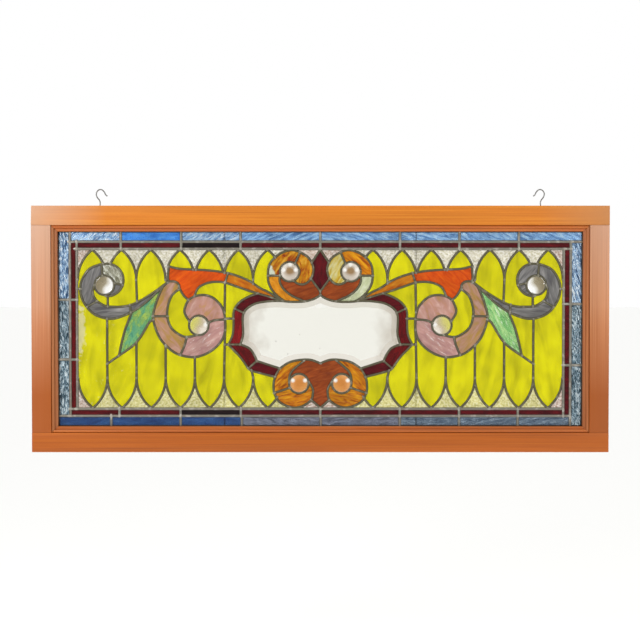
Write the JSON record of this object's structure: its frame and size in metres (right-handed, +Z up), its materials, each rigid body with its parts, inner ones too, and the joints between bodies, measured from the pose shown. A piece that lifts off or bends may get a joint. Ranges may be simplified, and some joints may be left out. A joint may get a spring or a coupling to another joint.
{
  "type": "stained glass window",
  "caption": "Wide leaded glass transom panel in a moulded fir sash: mirrored scroll ornament round a bevelled clear centre plate with domed jewels, hung by wire hooks.",
  "frame": {"origin": "midway between the seats of the two wire hooks above the top rail, in the middle of the sash thickness", "axes": "+X towards the right end as seen from the front, +Y from the front to the back, +Z up"},
  "size_m": [1.22, 0.035, 0.5573],
  "materials": {
    "lead": "dull grey lead came with tinned solder joints, standing as a cast metal",
    "steel": "plain drawn wire and flat bar, lightly dulled",
    "fir": "clear-finished fir with fine straight grain, satin",
    "fir_bead": "clear-finished fir moulding, darker in its quirks, satin",
    "blue_glass": "streaky blue and white cathedral glass",
    "maroon_glass": "deep maroon red glass, nearly black in places",
    "yellow_glass": "bright yellow-green opalescent glass with olive waves",
    "grey_glass": "streaky grey opalescent glass",
    "green_glass": "mottled green glass",
    "pink_glass": "soft pink opalescent glass with ochre streaks",
    "orange_glass": "fiery orange glass",
    "amber_glass": "amber glass, streaked and paler towards the top",
    "brown_glass": "streaky red-brown glass",
    "pale_glass": "granite-textured pale cream glass",
    "clear_glass": "clear polished glass, with faint seeds"
  },
  "bodies": {
    "root": {"lead_came": "lead", "blue_border": "blue_glass", "red_border": "maroon_glass", "picket_outer_left": "yellow_glass", "picket_outer_right": "yellow_glass", "picket_corner_left": "yellow_glass", "picket_corner_right": "yellow_glass", "picket_inner_left": "yellow_glass", "picket_inner_right": "yellow_glass", "picket_tip_3_left": "yellow_glass", "picket_tip_3_right": "yellow_glass", "picket_tip_2_left": "yellow_glass", "picket_tip_2_right": "yellow_glass", "picket_tip_1_left": "yellow_glass", "picket_tip_1_right": "yellow_glass", "yellow_heart_left": "yellow_glass", "yellow_heart_right": "yellow_glass", "yellow_crescent_left": "yellow_glass", "yellow_crescent_right": "yellow_glass", "grey_scroll_left": "grey_glass", "grey_scroll_right": "grey_glass", "leaf_left": "green_glass", "leaf_right": "green_glass", "pink_scroll_left": "pink_glass", "pink_scroll_right": "pink_glass", "trumpet_left": "orange_glass", "trumpet_right": "orange_glass", "cartouche_side_left": "maroon_glass", "cartouche_side_right": "maroon_glass", "bottom_scroll_left": "amber_glass", "bottom_scroll_right": "amber_glass", "top_scroll_left": "amber_glass", "top_scroll_right": "amber_glass", "top_heart": "brown_glass", "bottom_heart": "brown_glass", "diamond": "maroon_glass", "pale_ground_top": "pale_glass", "pale_ground_bottom": "pale_glass", "bevelled_plate": "clear_glass", "jewel_grey_scroll_left": "clear_glass", "jewel_grey_scroll_right": "clear_glass", "jewel_pink_scroll_left": "clear_glass", "jewel_pink_scroll_right": "clear_glass", "jewel_top_scroll_left": "clear_glass", "jewel_top_scroll_right": "clear_glass", "jewel_bottom_scroll_left": "clear_glass", "jewel_bottom_scroll_right": "clear_glass", "reinforcing_bar_left": "steel", "reinforcing_bar_right": "steel", "top_rail": "fir", "bottom_rail": "fir", "left_stile": "fir", "right_stile": "fir", "top_bead": "fir_bead", "bottom_bead": "fir_bead", "left_bead": "fir_bead", "right_bead": "fir_bead", "hook_left": "steel", "hook_right": "steel"}
  },
  "joints": []
}
